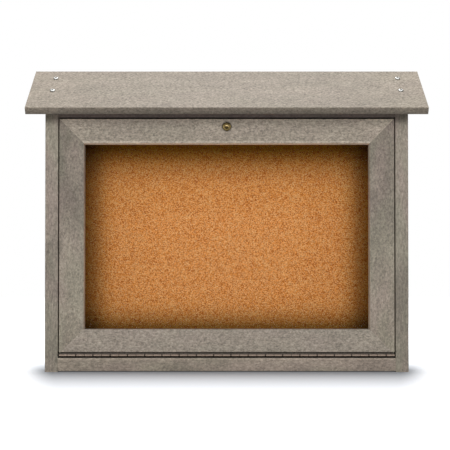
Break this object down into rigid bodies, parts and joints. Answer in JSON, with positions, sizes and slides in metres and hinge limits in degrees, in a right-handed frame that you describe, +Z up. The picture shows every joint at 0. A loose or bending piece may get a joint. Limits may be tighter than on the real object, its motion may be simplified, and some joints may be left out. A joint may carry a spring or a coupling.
{
  "type": "lockable notice board",
  "caption": "Outdoor notice board in recycled plastic lumber with a sloping roof, a cork pinning surface and a framed window door that hinges down and locks with a cam lock.",
  "frame": {"origin": "middle of the footprint, at the feet of the side boards", "axes": "+X along the board to the right as seen from the front, +Y from the front to the wall, +Z up"},
  "size_m": [1.162, 0.2162, 0.9067],
  "materials": {
    "plastic_lumber": "matte, faintly mottled recycled plastic lumber",
    "roof_plastic": "matte recycled plastic board with a fine mottled face",
    "back_plastic": "matte recycled plastic sheet",
    "cork": "natural granulated cork, unsealed",
    "fibre_board": "pressed wood fibre board",
    "clear_plastic": "clear polished plastic sheet",
    "seal_rubber": "matte black sealing strip",
    "aluminium_bar": "mill finish flat bar",
    "zinc_steel": "zinc plated steel",
    "bright_steel": "bright stainless steel",
    "hinge_steel": "satin stainless steel",
    "lock_brass": "turned brass, slightly dulled"
  },
  "bodies": {
    "case": {"left_side_board": "plastic_lumber", "right_side_board": "plastic_lumber", "sill_board": "plastic_lumber", "header_board": "plastic_lumber", "back_panel": "back_plastic", "cork_backing": "fibre_board", "cork_sheet": "cork", "roof_board": "roof_plastic", "roof_screws": "bright_steel", "case_screws": "zinc_steel", "back_panel_screws": "zinc_steel", "left_stop": "plastic_lumber", "right_stop": "plastic_lumber", "top_left_stop": "plastic_lumber", "top_right_stop": "plastic_lumber", "door_seal": "seal_rubber", "strike_plate": "zinc_steel", "strike_screws": "zinc_steel", "hinge_case_leaf": "hinge_steel", "hinge_pin": "hinge_steel", "case_leaf_screws": "zinc_steel"},
    "door": {"door_top_rail": "plastic_lumber", "door_bottom_rail": "plastic_lumber", "door_left_stile": "plastic_lumber", "door_right_stile": "plastic_lumber", "window_pane": "clear_plastic", "pane_gasket": "seal_rubber", "top_retainer": "aluminium_bar", "bottom_retainer": "aluminium_bar", "left_retainer": "aluminium_bar", "right_retainer": "aluminium_bar", "corner_braces": "zinc_steel", "hinge_door_leaf": "hinge_steel", "door_leaf_screws": "zinc_steel", "lock_housing": "lock_brass", "lock_nut": "lock_brass"},
    "lock_cylinder": {"lock_plug": "lock_brass", "cam": "zinc_steel", "cam_screw": "zinc_steel"}
  },
  "joints": [
    {"name": "door_hinge", "type": "hinge", "parent": "case", "child": "door", "pos_m": [0, -0.0326, 0.0497], "axis": [1, 0, 0], "range_deg": [0, 90]},
    {"name": "lock_turn", "type": "hinge", "parent": "door", "child": "lock_cylinder", "pos_m": [0, -0.0296, 0.72115], "axis": [0, 1, 0], "range_deg": [0, 90]}
  ]
}
